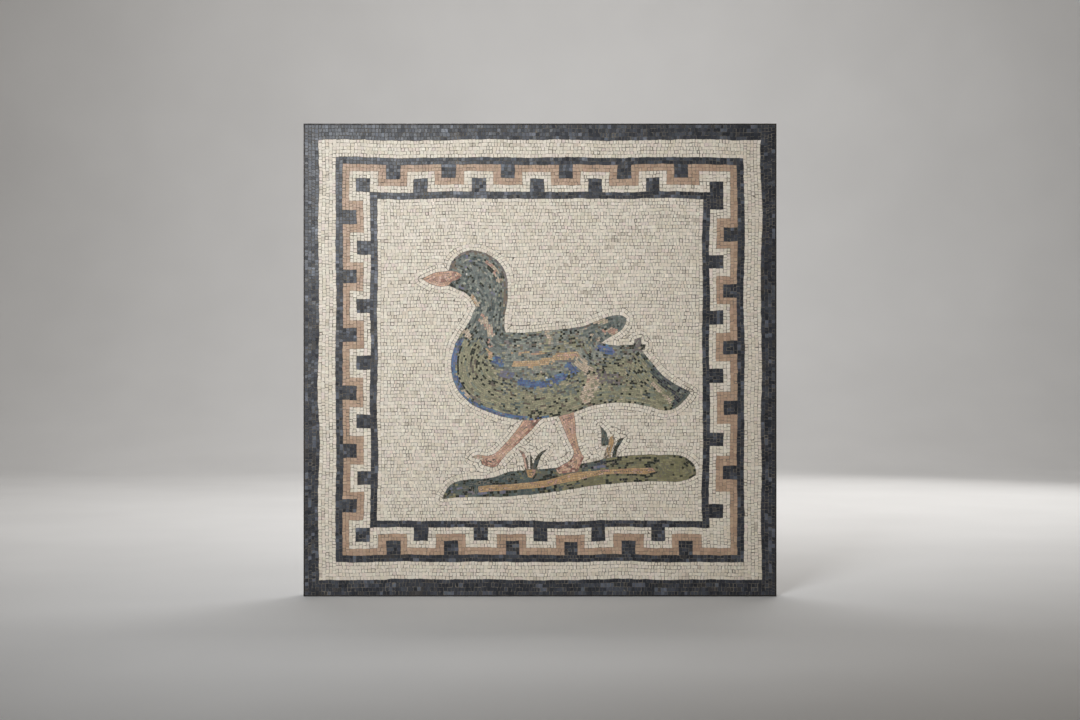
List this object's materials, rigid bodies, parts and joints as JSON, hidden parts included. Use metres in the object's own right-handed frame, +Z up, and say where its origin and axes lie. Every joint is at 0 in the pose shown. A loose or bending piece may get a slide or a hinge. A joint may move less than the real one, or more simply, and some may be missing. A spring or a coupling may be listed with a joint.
{
  "type": "mosaic panel",
  "caption": "Square wall panel of stone tesserae in a Roman manner: a walking duck on a strip of ground inside a crenellated fret border, set in mortar in a thin steel edge frame.",
  "frame": {"origin": "centre of the flat back, which lies against the wall", "axes": "+Z up the panel, +X to the right as seen from the front, +Y into the wall; the picture faces -Y"},
  "size_m": [1.219, 0.04, 1.219],
  "materials": {
    "edge_steel": "blackened steel flat bar, satin, lightly rubbed at the corners",
    "mortar": "cast lime and cement mortar, matt",
    "slate": "hand-cut slate-grey limestone tesserae, matt, pale grout between them",
    "cream": "hand-cut cream marble tesserae, honed, beige grout between them",
    "terracotta": "hand-cut terracotta-pink limestone tesserae, honed",
    "duck_green": "small hand-cut tesserae in slate, sage, olive, blue and orange stone, honed",
    "salmon": "small hand-cut salmon-pink marble tesserae, honed",
    "ground_green": "small hand-cut tesserae in dark slate and olive stone, honed",
    "orange": "small hand-cut ochre-orange marble tesserae, honed",
    "black_green": "small hand-cut black-green stone tesserae, honed"
  },
  "bodies": {
    "root": {"edge_frame": "edge_steel", "mortar_bed": "mortar", "slate_border": "slate", "cream_border": "cream", "fret_slate_outer": "slate", "fret_terracotta": "terracotta", "fret_cream": "cream", "fret_slate_inner": "slate", "fret_corner_square_upper": "slate", "fret_corner_square_lower": "slate", "cream_field": "cream", "duck_front_leg": "salmon", "near_tuft_left_blade": "salmon", "near_tuft_middle_blade": "black_green", "near_tuft_right_blade": "black_green", "far_tuft_left_leaf": "slate", "far_tuft_middle_blade": "orange", "far_tuft_right_blade": "black_green", "ground": "ground_green", "ground_stripe": "orange", "near_tuft_base": "orange", "duck_rear_leg": "salmon", "duck_body": "duck_green", "duck_bill": "salmon"}
  },
  "joints": []
}
